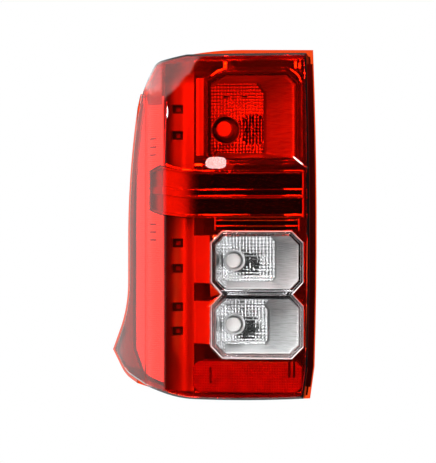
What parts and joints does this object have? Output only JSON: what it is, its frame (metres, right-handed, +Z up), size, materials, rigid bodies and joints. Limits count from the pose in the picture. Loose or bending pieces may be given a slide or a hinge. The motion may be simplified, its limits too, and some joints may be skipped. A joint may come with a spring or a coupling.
{
  "type": "tail light cluster",
  "caption": "Left rear combination lamp of a pickup: wraparound red lens, waisted clear window, reflector bowls, side light strip, twist-lock bulb holders and tailgate-side bolt tabs.",
  "frame": {"origin": "midway between the two bolt holes of the tailgate-side tabs", "axes": "+X towards the tailgate along the bolts, +Y towards the front of the vehicle, +Z up"},
  "size_m": [0.2679, 0.1803, 0.4307],
  "materials": {
    "red_lens": "clear red moulding, polished",
    "clear_lens": "clear moulding, polished",
    "black_plastic": "fine grain",
    "silvered": "vacuum-metallised",
    "red_prism": "moulded prisms",
    "light_guide": "milky, fluted",
    "board_green": "solder mask",
    "emitter": "cast resin",
    "bulb_glass": "clear",
    "grey_plastic": "moulded",
    "black_rubber": "matt",
    "foam": "closed-cell foam",
    "terminal_metal": "tinned",
    "zinc_steel": "zinc plated",
    "white_nylon": "moulded"
  },
  "bodies": {
    "root": {"outer_lens": "red_lens", "clear_window": "clear_lens", "rear_housing": "black_plastic", "inner_bezel": "silvered", "stop_reflector": "silvered", "twin_reflector": "silvered", "centre_bar": "silvered", "side_light_guide": "light_guide", "reflex_reflector": "red_prism", "led_board": "board_green", "led_chips": "emitter", "stop_bulb": "bulb_glass", "reverse_bulb": "bulb_glass", "signal_bulb": "bulb_glass", "stop_bulb_holder": "grey_plastic", "reverse_bulb_holder": "grey_plastic", "signal_bulb_holder": "grey_plastic", "holder_seals": "black_rubber", "holder_terminals": "terminal_metal", "mounting_gasket": "foam", "bolt_bushes": "zinc_steel", "locating_pins": "white_nylon", "breather_caps": "black_rubber", "bezel_screws": "zinc_steel"}
  },
  "joints": []
}
